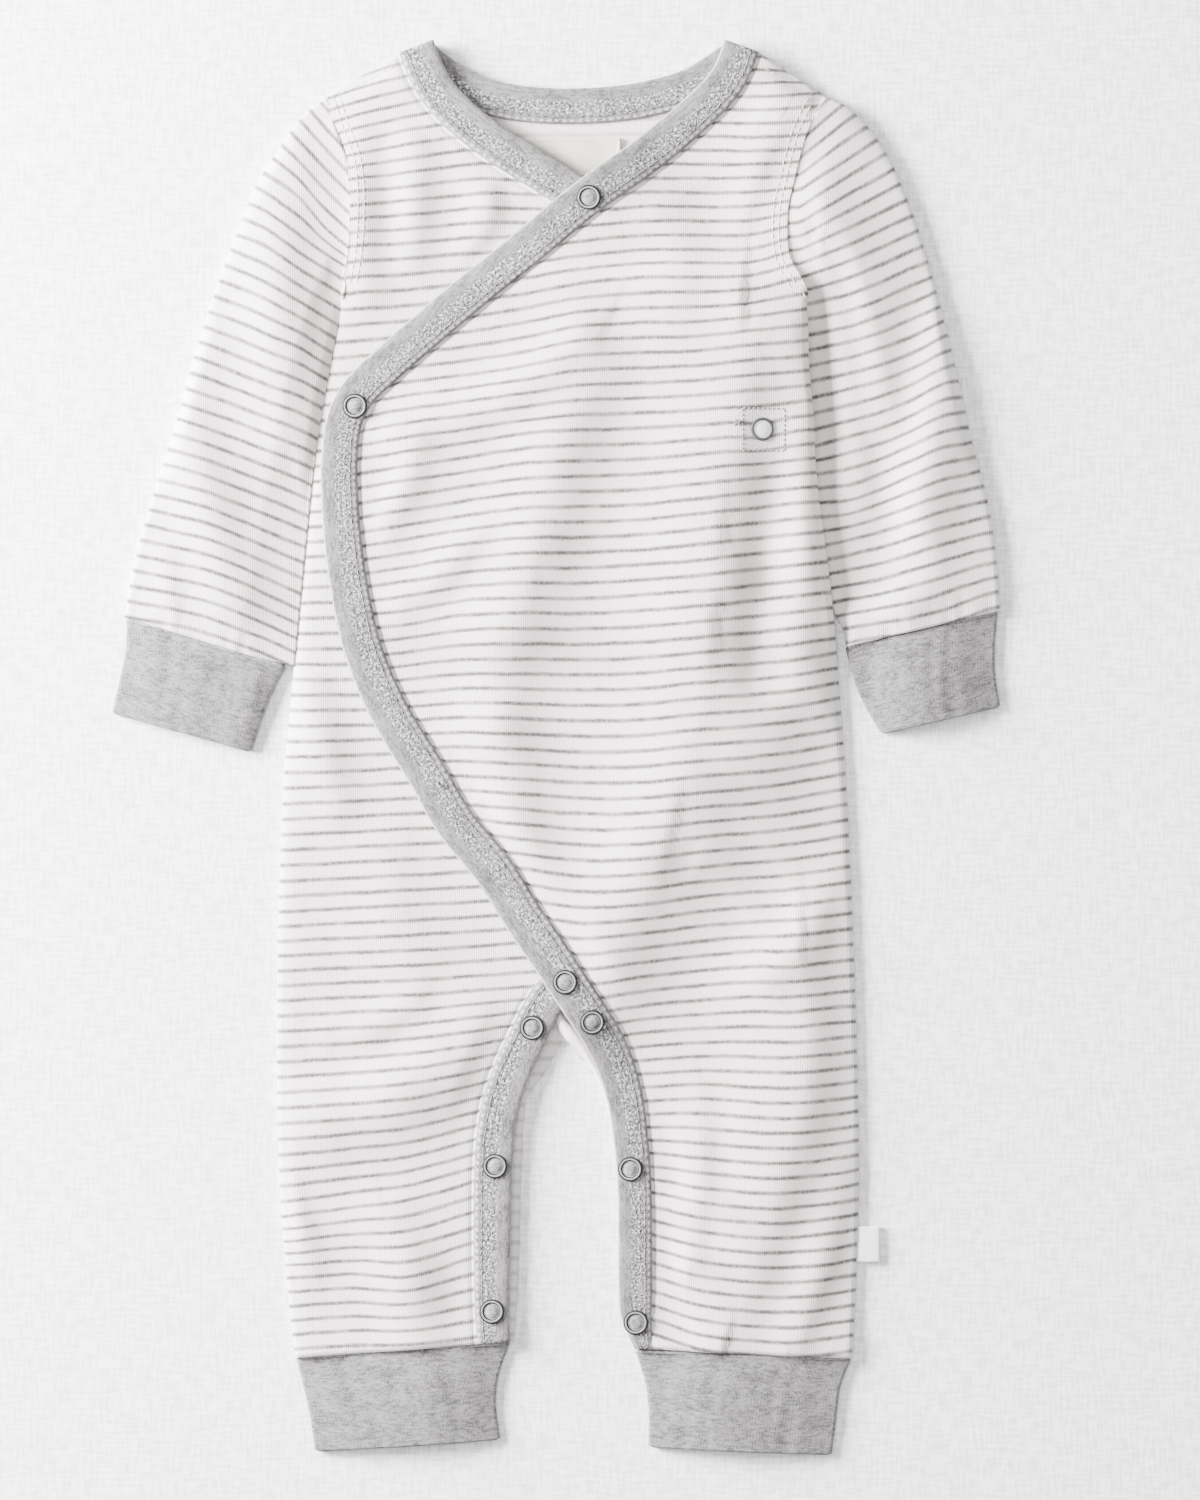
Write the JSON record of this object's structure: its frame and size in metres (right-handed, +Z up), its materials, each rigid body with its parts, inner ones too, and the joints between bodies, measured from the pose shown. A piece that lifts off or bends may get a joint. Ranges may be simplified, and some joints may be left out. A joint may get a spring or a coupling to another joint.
{
  "type": "kimono wrap sleepsuit",
  "caption": "Footless kimono-wrap baby sleepsuit in striped cotton, laid flat, with bound edges, ribbed cuffs and ring snaps.",
  "frame": {"origin": "centre of the bounding box's underside, on the surface that the garment lies on", "axes": "+Z up from the surface, +Y along the length towards the neck, +X towards the wearer's left"},
  "size_m": [0.3552, 0.565, 0.0117],
  "materials": {
    "striped_interlock": "soft cream cotton interlock with thin space-dyed grey stripes",
    "heather_rib": "heather-grey cotton rib",
    "woven_label": "bare cream woven tape",
    "side_tab": "bare white woven tape",
    "snap_grey": "satin grey enamel",
    "snap_white": "satin white enamel"
  },
  "bodies": {
    "root": {"back_panel": "striped_interlock", "front_under": "striped_interlock", "front_over": "striped_interlock", "binding_neck_back": "heather_rib", "binding_under": "heather_rib", "binding_over": "heather_rib", "sleeve_right": "striped_interlock", "sleeve_left": "striped_interlock", "cuff_wrist_right": "heather_rib", "cuff_wrist_left": "heather_rib", "cuff_ankle_right": "heather_rib", "cuff_ankle_left": "heather_rib", "neck_label": "woven_label", "side_tab": "side_tab", "snap_neck": "snap_grey", "snap_wrap": "snap_grey", "snap_crotch": "snap_grey", "snap_leg_left_top": "snap_grey", "snap_leg_left_mid": "snap_grey", "snap_leg_left_ankle": "snap_grey", "snap_leg_right_top": "snap_grey", "snap_leg_right_mid": "snap_grey", "snap_leg_right_ankle": "snap_grey", "snap_inner_white": "snap_white"}
  },
  "joints": []
}
